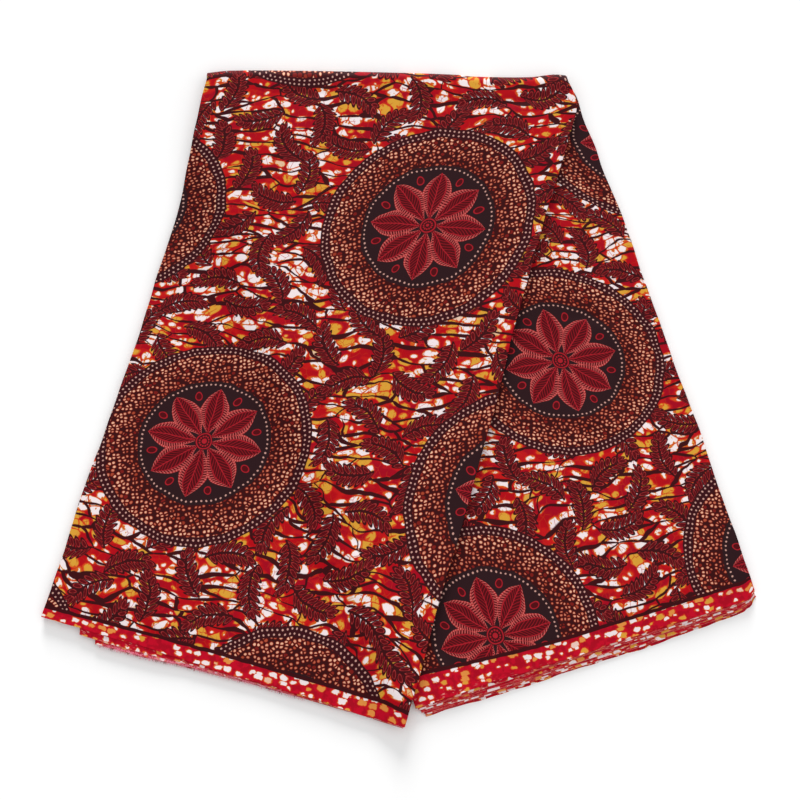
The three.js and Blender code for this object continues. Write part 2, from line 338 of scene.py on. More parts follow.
def layer_points(path, section, radius, creases=None, reach=None):
    """Points in millimetres, as stations by section. radius is the distance from the folding plane, and
    the section's rise adds to it. reach is how far the last station lies beyond the leg's end."""
    down, turn, on_right = (path[name][:, None] for name in ("down", "turn", "on_right"))
    along = path["along"][:, None]
    share, offset = section["share"][None], section["offset"][None]
    is_right = on_right[..., None] > 0
    left, right = both_sides(is_right, down)
    outwards = unit(right - left)
    wave = share * side_waves(along, 1) - (1 - share) * side_waves(along, -1)
    plan = left + (right - left) * share[..., None] + outwards * (offset + wave)[..., None]

    # The fold's edge wanders, and so does what is near it.
    wander = smooth_value(FOLD_EDGE["across"], FOLD_EDGE["out"], share)
    wander = wander * (1 - smooth_step(down, 0, WANDER_ENDS))
    level = radius + section["rise"][None]
    plan[..., 1] += wander + level * np.cos(turn)
    if reach is not None:
        left_before, right_before = both_sides(is_right, down - STEP_BACK)
        here = left + (right - left) * share[..., None]
        before = left_before + (right_before - left_before) * share[..., None]
        plan = plan + unit(here - before) * reach[..., None]

    press = 1 - END_PRESS * smooth_step(down, PRESSED_FROM, 1.0)
    pressed = CLEAR + (level - CLEAR) * press
    fold_room = np.where(on_right > 0, LEG_HEIGHT - level, level)  # above what this leg lies on
    rising = LEG_HEIGHT + level * np.sin(turn)
    resting = np.where(on_right > 0, fold_room * press, LEG_HEIGHT + pressed - sag(plan, down))
    z = np.where(down > 0, resting, rising)
    if creases is not None:
        across = share * STRIP_WIDTH + offset
        shown = np.where(on_right > 0, smooth_step(beside_left_leg(plan), *COVERED), 1.0)
        loose = np.clip(fold_room / LEG_HEIGHT, 0, 1) * shown * smooth_step(down, 0.0, CREASES_FROM)
        z = z + crease_height(creases, across, down * LEG_LENGTH) * loose
    return np.concatenate([plan, z[..., None]], axis=-1)


# %% [markdown]
# ## Sections
#
# A layer's section is flat from side to side, and at a folded side it turns through a half circle and
# runs back. The outermost layers turn in by a few millimetres at both sides. A leaf inside the stack is
# a doubled layer: it turns at one side only and runs all the way back under itself.

# %% Sections across a layer
HALF_TURN_STEPS = 8


def half_turn(nose):
    """A folded side of radius nose that turns down, from the upper layer to the lower one."""
    angles = np.radians(np.linspace(90, -90, HALF_TURN_STEPS + 1))[1:-1]
    return nose * np.cos(angles) - nose, nose * np.sin(angles) - nose


def section_of(parts):
    """One section from pieces of (share, offset, rise), with the length round it."""
    share, offset, rise = (np.concatenate(values) for values in zip(*parts))
    x = share * STRIP_WIDTH + offset
    steps = np.hypot(np.diff(x), np.diff(rise))
    around = np.concatenate([[0.0], np.cumsum(steps)])
    return {"share": share, "offset": offset, "rise": rise, "around": around}


def turned_section(columns, nose, turned_in):
    """A layer whose two sides turn down and in. Flip its rise for one whose sides turn up."""
    flat = np.linspace(0, 1, columns + 1)
    out, rise = half_turn(nose)
    inside = np.linspace(0, turned_in, 4)
    ones = np.ones_like(out)
    return section_of(
        [
            (0 * inside, nose + inside[::-1], -2 * nose + 0 * inside),
            (0 * out, -out[::-1], rise[::-1]),
            (flat, nose * (1 - 2 * flat), 0 * flat),
            (ones, out, rise),
            (1 + 0 * inside, -nose - inside, -2 * nose + 0 * inside),
        ]
    )


def doubled_section(columns, nose, fold_side, short):
    """A doubled layer with its fold at one side, -1 or 1, and its two edges short of the other side."""
    flat = np.linspace(0, 1, columns + 1)
    out, rise = half_turn(nose)
    upper = (flat, short * (1 - flat) - nose * flat, 0 * flat)
    lower = (flat[::-1], short * (1 - flat[::-1]) - nose * flat[::-1], -2 * nose + 0 * flat)
    section = section_of([upper, (np.ones_like(out), out, rise), lower])
    if fold_side < 0:
        section["share"] = 1 - section["share"]
        section["offset"] = -section["offset"]
    return section


sample = turned_section(10, 0.8, 5)
print("a turned section is", round(sample["around"][-1], 1), "mm long all round")

# %% [markdown]
# ## Sheets
#
# Cotton is about a third of a millimetre thick. A sheet is made here as a closed shell: its outer side,
# its inner side a thickness away along the normals, and a rim. It carries two UV maps. The first one,
# "print", holds the place on the flat cloth in millimetres, so that the print runs on over folds and
# through every layer as it does on the real cloth. The second one spreads the sides out for baking.

# %% Grid to closed shell
# How the bake map's width is shared out: the side that shows, the rim, and the side that doesn't.
OUTER_SHARE, RIM_FROM, RIM_TO, INNER_FROM = 0.62, 0.63, 0.65, 0.66
BAKE_EDGE = 0.004
SHELL_SHARP = math.radians(50)  # an edge that turns more than this is shaded as an edge


def new_object(name, mesh):
    piece = bpy.data.objects.new(name, mesh)
    bpy.context.scene.collection.objects.link(piece)
    return piece


def cloth_shell(name, points, prints, thickness, out):
    """points is the side that shows. out is 1 where rows x columns turn towards that side, else -1."""
    rows, columns, _ = points.shape
    along, across = np.gradient(points, axis=0), np.gradient(points, axis=1)
    normals = unit(np.cross(across, along)) * out
    corners = np.concatenate([points.reshape(-1, 3), (points - normals * thickness).reshape(-1, 3)])
    count = rows * columns
    ids = np.arange(count).reshape(rows, columns)
    quads = np.stack([ids[:-1, :-1], ids[:-1, 1:], ids[1:, 1:], ids[1:, :-1]], axis=-1).reshape(-1, 4)
    if out < 0:
        quads = quads[:, ::-1]
    edge = np.concatenate([ids[0, :-1], ids[:-1, -1], ids[-1, :0:-1], ids[:0:-1, 0]])
    after = np.roll(edge, -1)
    rim = np.stack([edge, edge + count, after + count, after], axis=-1)
    if out < 0:
        rim = rim[:, ::-1]
    faces = np.concatenate([quads, quads[:, ::-1] + count, rim])

    mesh = bpy.data.meshes.new(name)
    mesh.from_pydata(((corners + MIDDLE) * MM).tolist(), [], faces.tolist())
    loops = faces.reshape(-1)
    print_map = mesh.uv_layers.new(name="print")
    flat = np.concatenate([prints.reshape(-1, 2)] * 2)
    print_map.data.foreach_set("uv", flat[loops].astype(np.float32).reshape(-1))

    place = np.stack(np.meshgrid(np.linspace(0, 1, rows), np.linspace(0, 1, columns), indexing="ij"), -1)
    place = BAKE_EDGE + (1 - 2 * BAKE_EDGE) * place.reshape(-1, 2)[:, ::-1]
    outer = place * [OUTER_SHARE, 1]
    inner = place * [1 - INNER_FROM, 1] + [INNER_FROM, 0]
    bake = np.concatenate([outer, inner])[loops]
    step = np.arange(len(rim)) / len(rim)
    next_step = step + 1 / len(rim)
    low_side, high_side = 0 * step + RIM_FROM, 0 * step + RIM_TO
    rim_places = [(low_side, step), (high_side, step), (high_side, next_step), (low_side, next_step)]
    if out < 0:
        rim_places.reverse()
    bake[-4 * len(rim) :] = np.stack([np.stack(p, axis=-1) for p in rim_places], axis=1).reshape(-1, 2)
    bake_map = mesh.uv_layers.new(name="OFBake")
    bake_map.data.foreach_set("uv", bake.astype(np.float32).reshape(-1))
    mesh.uv_layers.active = print_map
    print_map.active_render = True
    mesh.shade_smooth()
    mesh.set_sharp_from_angle(angle=SHELL_SHARP)
    return new_object(name, mesh)


def report(piece):
    triangles = sum(len(p.vertices) - 2 for p in piece.data.polygons)
    size = [round(x, 3) for x in piece.dimensions]
    print(f"{piece.name}: {triangles} triangles, {size} m")


# %% [markdown]
# ## The outer and the inner layer
#
# The outermost layer is one stretch of cloth: it lies on top of the left leg, rolls over the fold and
# comes back beneath the right leg. The innermost one lies under the left leg, turns up inside the fold
# and shows on top of the right leg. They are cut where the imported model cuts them, as four sheets.

# %% Stations along the strip
# Closer together near the selvedge, where the edge waves, and near the fold.
END_ROWS = np.linspace(1.0, 0.96, 12)[:-1]
FOLD_ROWS = np.linspace(0.04, 0.003, 12)[1:]
LEFT_ROWS = np.concatenate([END_ROWS, np.linspace(0.96, 0.04, 190), FOLD_ROWS])
RIGHT_ROWS = LEFT_ROWS[::-1]
FOLD_TURNS = np.linspace(90, -90, 21)
COLUMNS = 118
SHEET = 0.4  # thickness of an outer layer, and below it of a leaf
LEAF_SHEET = 0.3
NOSE = 0.7  # radius of an outer layer's folded side
TURNED_IN = 5.0

# Where each layer starts along the six yards, in millimetres.
START = {"outer": 20.0, "inner": 1178.0, "leaf": 2300.0, "leaf_step": 331.0}

# How wide the red selvedge band is, and how wide it shows at these shares across each leg.
BAND = 26.0
BAND_EASE = 200.0  # the print is drawn towards the edge over this much of the cloth
LEFT_BAND = table(("across", "wide"), (0, 8.5), (0.25, 11), (0.5, 13), (0.93, 13.5), (1, 10))
RIGHT_BAND = table(("across", "wide"), (0, 25.5), (0.14, 22), (0.33, 17.5), (0.45, 16), (1, 16))


def print_places(path, section, start):
    """Where each point lies on the flat cloth: along its six yards, and from its left selvedge."""
    along = path["along"][:, None] + 0 * section["share"][None]
    share = section["share"][None] + 0 * along
    left, right = (BAND - np.interp(share, band["across"], band["wide"]) for band in (LEFT_BAND, RIGHT_BAND))
    left = left * smooth_step(along, BAND_EASE, 0)
    right = right * smooth_step(along, CLOTH_WIDTH - BAND_EASE, CLOTH_WIDTH)
    length = start + section["around"][None] + 0 * along
    return np.stack([length, along + left - right], axis=-1)


END_WAVES_FROM = 0.97
CORNER_CUT = 6.0  # how much sooner the right leg ends at its outer corner
CORNER_FROM = 0.968  # where across the leg that corner starts
CORNER_DOWN = 0.95  # and where down it


def end_waves(section, path, seed):
    """The free edge of an outer layer isn't quite straight."""
    x = section["share"][None] * STRIP_WIDTH
    wave = ripples(x, seed, (0.6, 23, 1), (0.35, 9.1, 2), (0.2, 3.7, 3))
    return wave * smooth_step(path["down"][:, None], END_WAVES_FROM, 1.0)


def rounded_corner(section):
    """The outer corner of the right leg isn't sharp: there each layer ends this much sooner."""
    return -CORNER_CUT * smooth_step(section["share"][None], CORNER_FROM, 1.0) ** 2


flat_section = turned_section(COLUMNS, NOSE, TURNED_IN)
raised_section = {**flat_section, "rise": -flat_section["rise"]}

# %% The four sheets
APART_FROM = 0.92  # from here to the selvedge the layers come apart
DRAWN_IN = 3.0  # how far the left leg's underside stays behind
RIGHT_SLIPPED_IN = 7.0  # how far the lowest layer's left corner lies inside the top one's

left_top = path_rows(left=LEFT_ROWS, fold=FOLD_TURNS)
reach = end_waves(flat_section, left_top, 0.4)
points = layer_points(left_top, flat_section, LEG_HEIGHT, LEFT_CREASES, reach)
prints = print_places(left_top, flat_section, START["outer"])
left_leg_cloth = cloth_shell("left_leg_cloth", points, prints, SHEET, 1)

right_top = path_rows(fold=FOLD_TURNS, right=RIGHT_ROWS)
reach = end_waves(raised_section, right_top, 1.1)
reach = reach + rounded_corner(raised_section) * smooth_step(right_top["down"][:, None], CORNER_DOWN, 1.0)
points = layer_points(right_top, raised_section, CLEAR, RIGHT_CREASES, reach)
prints = print_places(right_top, raised_section, START["inner"])
right_leg_cloth = cloth_shell("right_leg_cloth", points, prints, SHEET, -1)

left_low = path_rows(left=LEFT_ROWS)
drawn_in = DRAWN_IN * smooth_step(left_low["down"][:, None], APART_FROM, 1)
reach = end_waves(raised_section, left_low, 2.3) - drawn_in
points = layer_points(left_low, raised_section, CLEAR, HIDDEN_CREASES, reach)
prints = print_places(left_low, raised_section, START["inner"])
left_leg_under = cloth_shell("left_leg_under", points, prints, SHEET, -1)

# How far the right leg's underside ends beyond its top layer.
UNDERSIDE_REACH = table(
    ("across", "by"),
    (0.000, 11.0),
    (0.300, 12.2),
    (0.600, 12.8),
    (0.800, 11.5),
    (0.930, 11.2),
    (0.955, 10.0),
    (0.965, 7.5),
    (1.000, 5.5),
)


def slip_in(points, section, by, free):
    """Draws the left side of a layer in by that many millimetres, and the rest less and less."""
    right_side = points[:, np.argmax(section["share"])][:, None, :2]
    pull = (by / STRIP_WIDTH * free)[..., None]
    points[..., :2] += (right_side - points[..., :2]) * pull


right_low = path_rows(fold=FOLD_TURNS[-1:], right=RIGHT_ROWS)
beyond = np.interp(flat_section["share"], UNDERSIDE_REACH["across"], UNDERSIDE_REACH["by"])[None]
beyond = beyond + rounded_corner(flat_section)
apart = smooth_step(right_low["down"][:, None], APART_FROM, 1.0)
reach = beyond * apart + end_waves(flat_section, right_low, 4.0)
points = layer_points(right_low, flat_section, LEG_HEIGHT, HIDDEN_CREASES, reach)
slip_in(points, flat_section, RIGHT_SLIPPED_IN, apart)
prints = print_places(right_low, flat_section, START["outer"])
right_leg_under = cloth_shell("right_leg_under", points, prints, SHEET, 1)

for piece in (left_leg_cloth, right_leg_cloth, left_leg_under, right_leg_under):
    report(piece)

# %% [markdown]
# ## The folded edges between
#
# Between those layers lie fourteen more. Only their folded edges show, at the sides of the strip and
# round the fold, so they are one closed body whose section has six small rounded noses at each side.
# No two edges of a real pleated strip line up: each nose goes in and out as it runs along.

# %% The body of folded edges
CORE_FROM, CORE_TO = 1.6, 6.55
NOSES = 6
NOSE_PITCH = (CORE_TO - CORE_FROM) / NOSES
NOSE_POINTS = 6
NOSE_OUT = 0.8  # how far a nose stands out from the groove beside it
NOSE_INSET = 0.85  # how far, on average, it stays behind the layer above
CORE_INSET = 1.8  # how far its flat faces stay inside the strip's sides
CORE_SHARP = math.radians(55)
PRINT_CLIMB = 9.0  # how far the print moves on for each millimetre of height
LEAF_DEPTH = 45.0
LEAF_START = 1 - LEAF_DEPTH / LEG_LENGTH


def nose_inset(along, number, side):
    """How far one folded edge stays behind the layer above, in millimetres."""
    phase = number * 2.1 + side * 0.8
    return NOSE_INSET + ripples(along, phase, (0.55, 63, 1), (0.35, 23, 2.3), (0.2, 9.7, 3.1))


def core_section(columns):
    """The ring of the folded layers: top, right noses, bottom, left noses. nose and side number them."""
    inner = np.linspace(0, 1, columns + 1)
    angles = np.radians(np.linspace(80, -80, NOSE_POINTS))

    def nose_points(number, side):
        middle = CORE_TO - (number + 0.5) * NOSE_PITCH
        levels = middle + side * 0.5 * NOSE_PITCH * np.sin(angles)
        return (1.0 if side > 0 else 0.0, levels, number, side, np.cos(angles) * NOSE_OUT)

    parts = [(inner, CORE_TO, -1, 0, 0)]
    parts += [nose_points(number, 1) for number in range(NOSES)]
    parts += [(inner[::-1], CORE_FROM, -1, 0, 0)]
    parts += [nose_points(number, -1) for number in reversed(range(NOSES))]
    return np.concatenate([np.array(np.broadcast_arrays(*part), float) for part in parts], axis=1)


core_path = path_rows(
    left=np.concatenate([np.linspace(LEAF_START, 0.03, 120), np.linspace(0.03, 0.004, 6)[1:]]),
    fold=FOLD_TURNS,
    right=np.concatenate([np.linspace(0.004, 0.03, 6), np.linspace(0.03, LEAF_START, 120)[1:]]),
)
share, level, nose, side, out = core_section(36)
along = core_path["along"][:, None]
inset = nose_inset(along, nose[None], side[None])
offset = np.where(nose >= 0, side * (out - NOSE_OUT - inset), CORE_INSET * (1 - 2 * share))
core_rows = []
for row in range(len(core_path["down"])):
    station = {name: values[row : row + 1] for name, values in core_path.items()}
    section = {"share": share, "offset": offset[row], "rise": level}
    creases = RIGHT_CREASES if station["on_right"][0] > 0 else LEFT_CREASES
    core_rows.append(layer_points(station, section, 0.0, creases)[0])
core_points = np.array(core_rows)


def swept_body(name, rings, prints):
    """A closed body from rings of points, with a flat cap at each end."""
    rows, count, _ = rings.shape
    ids = np.arange(rows * count).reshape(rows, count)
    after = np.roll(ids, -1, axis=1)
    quads = np.stack([ids[:-1], after[:-1], after[1:], ids[1:]], axis=-1).reshape(-1, 4)
    faces = quads.tolist() + [ids[0][::-1].tolist(), ids[-1].tolist()]
    mesh = bpy.data.meshes.new(name)
    mesh.from_pydata(((rings.reshape(-1, 3) + MIDDLE) * MM).tolist(), [], faces)
    loops = np.concatenate([np.array(f) for f in faces])
    print_map = mesh.uv_layers.new(name="print")
    print_map.data.foreach_set("uv", prints.reshape(-1, 2)[loops].astype(np.float32).reshape(-1))
    mesh.shade_smooth()
    mesh.set_sharp_from_angle(angle=CORE_SHARP)
    return new_object(name, mesh)


core_prints = np.stack([share * STRIP_WIDTH + level * PRINT_CLIMB + 0 * along, along + 0 * level], axis=-1)
folded_layers = swept_body("folded_layers", core_points, core_prints)
report(folded_layers)

# %% [markdown]
# ## Loose leaves at the selvedges
#
# Near a selvedge the layers come apart, and one ends a little beyond another. Each doubled leaf starts
# inside the stack. On the left leg two of them step out near the corner; on the right leg every leaf
# lies one to two and a half millimetres beyond the one above, like a stair of thin red edges.

# %% Leaves of both legs
LEAF_COLUMNS = 96
LEAF_GAP = 0.02  # between one leaf and the next
LEAF_NOSE = NOSE_PITCH / 2 - LEAF_GAP
LEAF_SHORT = 0.6  # how far a leaf's two edges stay short of the strip's side
LEAF_WAVES = 0.6  # how strongly its free edge waves
LEAF_ROWS = np.linspace(1.0, LEAF_START, 14)
# Beyond the top layer of the left leg: the upper and the lower layer of each of the two leaves that
# show, and how far each leaf's left side has slipped in.
LEFT_REACH = table(
    ("across", "upper_1", "lower_1", "upper_2", "lower_2"),
    (0.00, 6.8, 5.6, 11.4, 12.0),
    (0.15, 6.4, 5.0, 9.6, 10.6),
    (0.30, 3.8, 3.0, 6.0, 7.2),
    (0.52, 1.6, 0.8, 2.0, 2.9),
    (0.75, 0.9, -0.2, 1.2, 1.8),
    (1.00, 0.5, -0.8, 0.8, 1.2),
)
SLIPPED_IN = (37.5, 54.0)
# How far each right leaf lies out, as a share of the way from the top layer to the underside.
RIGHT_STEPS = (0.13, 0.24, 0.45, 0.54, 0.74, 0.84)


def leaf_section(fold_side, raised):
    section = doubled_section(LEAF_COLUMNS, LEAF_NOSE, fold_side, LEAF_SHORT)
    section["under"] = -section["rise"] / (2 * LEAF_NOSE)
    if raised:
        section["rise"] = -section["rise"]
    return section


def leaf_waves(section, number, layer):
    x = section["share"][None] * STRIP_WIDTH
    phase = 1.3 * number + 0.7 * layer
    return ripples(x, phase, (0.45, 31, 1), (0.3, 11.7, 2), (0.15, 4.3, 1))


def leaf_reach(leg, section, number, free):
    """How far the leaf's two layers end beyond the leg's top layer, at their free ends."""
    share, under = section["share"][None], section["under"][None]
    if leg == "right":
        total = np.interp(share, UNDERSIDE_REACH["across"], UNDERSIDE_REACH["by"])
        step = RIGHT_STEPS[number] + 0.035 * np.sin(7 * share + 2.2 * number)
        reach = total * step - (0.5 if number % 3 else -0.5) * under + rounded_corner(section)
    elif number < len(SLIPPED_IN):
        upper, lower = (
            np.interp(share, LEFT_REACH["across"], LEFT_REACH[f"{layer}_{number + 1}"])
            for layer in ("upper", "lower")
        )
        reach = upper + (lower - upper) * under
    else:
        reach = -1.5 - 1.1 * np.sin(2.3 * number + share * 4) - 1.2 * under + 0 * share
    waves = leaf_waves(section, number, 0) * (1 - under) + leaf_waves(section, number, 1) * under
    return (reach + LEAF_WAVES * waves) * free


def selvedge_leaf(leg, number):
    on_left = leg == "left"
    section = leaf_section(1 if number % 2 == 0 else -1, raised=not on_left)
    inset = 0.3 + 0.5 * (number % 3)
    section["offset"] = section["offset"] + inset * (1 - 2 * section["share"])
    path = path_rows(left=LEAF_ROWS) if on_left else path_rows(right=LEAF_ROWS[::-1])
    free = smooth_step(path["down"][:, None], LEAF_START, 1.0)
    reach = leaf_reach(leg, section, number, free)
    depth = number * NOSE_PITCH + LEAF_GAP
    radius = CORE_TO - depth if on_left else CORE_FROM + depth
    points = layer_points(path, section, radius, LEFT_CREASES if on_left else RIGHT_CREASES, reach)
    if not on_left:
        slip_in(points, section, RIGHT_SLIPPED_IN * (number + 1) / (NOSES + 1), free)
    elif number < len(SLIPPED_IN):
        slip_in(points, section, SLIPPED_IN[number], free)
    from_edge = (1 - path["down"][:, None]) * LEG_LENGTH + 0 * reach
    start = START["leaf"] + START["leaf_step"] * (number + (0 if on_left else NOSES))
    along = from_edge if on_left else CLOTH_WIDTH - from_edge
    prints = np.stack([start + section["around"][None] + 0 * along, along], axis=-1)
    return cloth_shell(f"{leg}_leaf_{number + 1}", points, prints, LEAF_SHEET, 1 if on_left else -1)


leaves = {leg: [selvedge_leaf(leg, number) for number in range(NOSES)] for leg in ("left", "right")}
for leg in leaves:
    report(leaves[leg][0])

# %% [markdown]
# ## Wires: a small language for patterns
#
# The print is worked out from the place on the flat cloth, with no picture. That takes many Math nodes,
# so a small class stands for one value in the node tree: adding, multiplying or comparing two wires
# adds the node that does it. The pattern below then reads like the sum it is.

# %% A wire is one value in a node tree
class Wire:
    def __init__(self, socket):
        self.socket = socket
        self.tree = socket.id_data

    def math(self, operation, *others, clamp=False):
        node = self.tree.nodes.new("ShaderNodeMath")
        node.operation = operation
        node.use_clamp = clamp
        for socket, value in zip(node.inputs, (self, *others)):
            plug(value, socket)
        return Wire(node.outputs[0])

    def __add__(self, other):
        return self.math("ADD", other)

    def __sub__(self, other):
        return self.math("SUBTRACT", other)

    def __rsub__(self, other):
        return constant(self.tree, other).math("SUBTRACT", self)

    def __mul__(self, other):
        return self.math("MULTIPLY", other)

    def __truediv__(self, other):
        return self.math("DIVIDE", other)

    __radd__ = __add__
    __rmul__ = __mul__

    def above(self, edge, soft):
        """0 below the edge and 1 above it, with a soft change of that width."""
        return self.math("MULTIPLY_ADD", 1 / soft, 0.5 - edge / soft, clamp=True)

    def below(self, edge, soft):
        return self.math("MULTIPLY_ADD", -1 / soft, 0.5 + edge / soft, clamp=True)

    def between(self, low, high, soft):
        return self.above(low, soft) * self.below(high, soft)

    def size(self):
        return self.math("ABSOLUTE")

    def part(self):
        return self.math("FRACT")

    def either(self, other):
        return self.math("MAXIMUM", other)

    def both(self, other):
        return self.math("MINIMUM", other)

    def within(self, half):
        """The value wrapped into -half to half."""
        return self.math("WRAP", half, -half)


def plug(value, socket):
    """Feeds an input from a wire or another node's output, or sets it to a plain number or colour."""
    source = value.socket if isinstance(value, Wire) else value
    if isinstance(source, bpy.types.NodeSocket):
        socket.id_data.links.new(source, socket)
    else:
        socket.default_value = source


def constant(tree, number):
    node = tree.nodes.new("ShaderNodeValue")
    node.outputs[0].default_value = number
    return Wire(node.outputs[0])


def length_of(x, y):
    return (x * x + y * y).math("SQRT")


# %% Textures and colours as wires
def place(x, y, z=0.0):
    node = x.tree.nodes.new("ShaderNodeCombineXYZ")
    for socket, value in zip(node.inputs, (x, y, z)):
        plug(value, socket)
    return node.outputs[0]


def split(vector):
    node = vector.id_data.nodes.new("ShaderNodeSeparateXYZ")
    plug(vector, node.inputs[0])
    return [Wire(output) for output in node.outputs]


def noise(x, y, size, detail=1.0, rough=0.5):
    """Soft noise between 0 and 1 with patches of about that size."""
    node = x.tree.nodes.new("ShaderNodeTexNoise")
    node.noise_dimensions = "2D"
    plug(place(x / size, y / size), node.inputs["Vector"])
    for name, value in (("Scale", 1.0), ("Detail", detail), ("Roughness", rough)):
        node.inputs[name].default_value = value
    return Wire(node.outputs[0])


def cells(x, y, feature="F1", metric="EUCLIDEAN", random=1.0):
    """A Voronoi texture on a plane: its node, so that a pattern can use any of its outputs."""
    node = x.tree.nodes.new("ShaderNodeTexVoronoi")
    node.voronoi_dimensions = "2D"
    node.feature = feature
    if feature != "DISTANCE_TO_EDGE":
        node.distance = metric
    plug(place(x, y), node.inputs["Vector"])
    node.inputs["Scale"].default_value = 1.0
    node.inputs["Randomness"].default_value = random
    if metric == "MINKOWSKI":
        node.inputs["Exponent"].default_value = 3.0  # between round cells and square ones
    return node


def chance(x, y, seed):
    """Three even random numbers for each whole place x, y."""
    node = x.tree.nodes.new("ShaderNodeTexWhiteNoise")
    node.noise_dimensions = "3D"
    plug(place(x, y, seed), node.inputs["Vector"])
    return split(node.outputs["Color"])


def srgb(red, green, blue):
    """A colour given from 0 to 255, as the linear numbers that Blender works with."""
    parts = [value / 255 for value in (red, green, blue)]
    return (*(s / 12.92 if s <= 0.04045 else ((s + 0.055) / 1.055) ** 2.4 for s in parts), 1.0)


COLOUR_A, COLOUR_B, COLOUR_OUT = 6, 7, 2  # a Mix node's colour sockets, by their place in its lists


def paint(under, over, where):
    """The colour over, laid on the colour under, where the wire is 1."""
    node = where.tree.nodes.new("ShaderNodeMix")
    node.data_type = "RGBA"
    node.clamp_factor = True
    plug(where, node.inputs[0])
    plug(under, node.inputs[COLOUR_A])
    plug(over, node.inputs[COLOUR_B])
    return node.outputs[COLOUR_OUT]


# %% [markdown]
# ## The dyes
#
# Wax print has few colours: the wax keeps the first dye, a maroon so deep that it is nearly black, off
# the ground, and red, orange and yellow are printed into what is left. White is the bare cotton.

# %% Dyes
MAROON = srgb(58, 10, 15)
DEEP = srgb(42, 20, 24)
PLUM = srgb(54, 11, 18)
LEAF_DARK = srgb(88, 5, 14)
PETAL_DARK = srgb(78, 6, 14)
RED = srgb(174, 4, 18)
CRIMSON = srgb(158, 2, 27)
SCARLET = srgb(198, 25, 20)
ORANGE = srgb(204, 84, 26)
YELLOW = srgb(212, 154, 52)
WHITE = srgb(238, 224, 226)
CREAM = srgb(240, 192, 160)
TAN = srgb(190, 98, 72)
DOT_CREAM = srgb(200, 152, 140)
PEBBLE_ORANGE = srgb(150, 54, 30)
PEBBLE_RED = srgb(118, 24, 20)
PEBBLE_GROUND = srgb(56, 11, 13)
# Painted highlight: the pale pink of the leaf edges where they catch the light.
EDGE_HIGHLIGHT_PINK = srgb(236, 150, 140)
FLECK_GOLD = srgb(222, 140, 66)
FRAY_ROSE = srgb(224, 122, 144)
LINE_PINK = srgb(170, 50, 50)
CRACK = srgb(180, 44, 20)
LINE_RED = srgb(150, 20, 32)
PETAL_LINE = srgb(164, 26, 38)
BEAD_PINK = srgb(214, 124, 112)
ROPE_PINK = srgb(186, 80, 78)
SELVEDGE_RED = srgb(190, 5, 36)

# %% [markdown]
# ## The ground
#
# Red, with rows of white and amber bubbles in orange halos, and dark veins that run along the cloth's
# length and fork like the cracks they come from. A Voronoi cell stretched four times as long as it is
# high has such forks. Its own edge distance would make the steep veins four times as thick, so the
# distance is worked out again in real millimetres from the two nearest cell centres.

# %% Veins, bubbles and crackle
VEIN_CELL = (50.0, 12.5)
BUBBLE_CELL = (12.0, 8.6)
UNEVEN = 0.85  # how far each cell's middle strays from an even grid
TINY = 0.0001  # keeps a division away from nought


def vein_distance(x, y):
    """Millimetres from the nearest line half way between two stretched cells."""
    across, up = VEIN_CELL
    nearest, second = (cells(x / across, y / up, which, random=UNEVEN) for which in ("F1", "F2"))
    d1, d2 = (Wire(node.outputs["Distance"]) for node in (nearest, second))
    x1, y1, _ = split(nearest.outputs["Position"])
    x2, y2, _ = split(second.outputs["Position"])
    slope = length_of((x2 - x1) / across, (y2 - y1) / up)
    return (d2 * d2 - d1 * d1) / (2 * slope + TINY)


def bubbles(x, y, under):
    """White and amber bubbles, in crowds, laid on the colour under. Dye creeps in from their rims."""
    wide, high = BUBBLE_CELL
    spots = cells(x / wide, y / high, random=UNEVEN)
    kind, size, _ = split(spots.outputs["Color"])
    crowd = noise(x * 0.6, y + 90, 27).above(0.47, 0.22)
    radius = 0.17 + 0.18 * size + 0.34 * crowd * size.above(0.12, 0.2)
    rough = (noise(x, y, 2.6) - 0.5) * 0.10
    depth = radius - Wire(spots.outputs["Distance"])
    walls = cells(x / wide, y / high, "DISTANCE_TO_EDGE", random=UNEVEN)
    depth = depth.both(Wire(walls.outputs["Distance"]) * 1.5 - 0.05) + rough
    crept = noise(x + 40, y, 4.6, detail=2)
    layer = paint(under, SCARLET, depth.above(-0.08, 0.14))
    layer = paint(layer, ORANGE, depth.above(-0.01, 0.09))
    amber = depth - 0.5 * crept.above(0.68, 0.2)
    layer = paint(layer, YELLOW, amber.above(0.035, 0.10))
    bare = depth - 0.45 * crept.above(0.63, 0.2)
    return paint(layer, WHITE, bare.above(0.055, 0.08) * kind.above(0.30, 0.01))


def ground(x, y):
    """The colour of the ground at a place of the flat cloth, in millimetres."""
    swirl = noise(x, y, 26, detail=2)
    y_veins = y + (noise(x, y, 60) - 0.5) * 26 + (swirl - 0.5) * 5
    x_veins = x + (swirl - 0.5) * 16

    warm = noise(x * 0.5, y, 12, detail=2)
    base = paint(RED, CRIMSON, noise(x + 210, y, 24).above(0.5, 0.16))
    base = paint(base, SCARLET, warm.above(0.62, 0.1) * 0.6)
    base = bubbles(x_veins, y_veins, base)

    crackle = cells(x / 7, y / 9 + swirl, "DISTANCE_TO_EDGE")
    cracked = noise(x, y, 13).above(0.5, 0.1)
    fine = Wire(crackle.outputs["Distance"]).below(0.035, 0.035) * cracked
    base = paint(base, CRACK, fine * 0.75)

    # The veins swell and thin out, and are missing here and there.
    thick = 0.75 + 3.2 * (noise(x, y, 34) - 0.32)
    vein = (thick - vein_distance(x_veins, y_veins)).above(0.0, 0.5)
    return paint(base, MAROON, vein)


# %% [markdown]
# ## Leaf sprays
#
# Sprigs of paired leaflets are scattered over the ground, each turned its own way and bent to one
# side. Each box of an invisible grid holds one sprig, and random numbers for the box set its turn. A
# leaflet is an ellipse: dark inside, with a fine pink line, on a dark edge that joins it to the next.

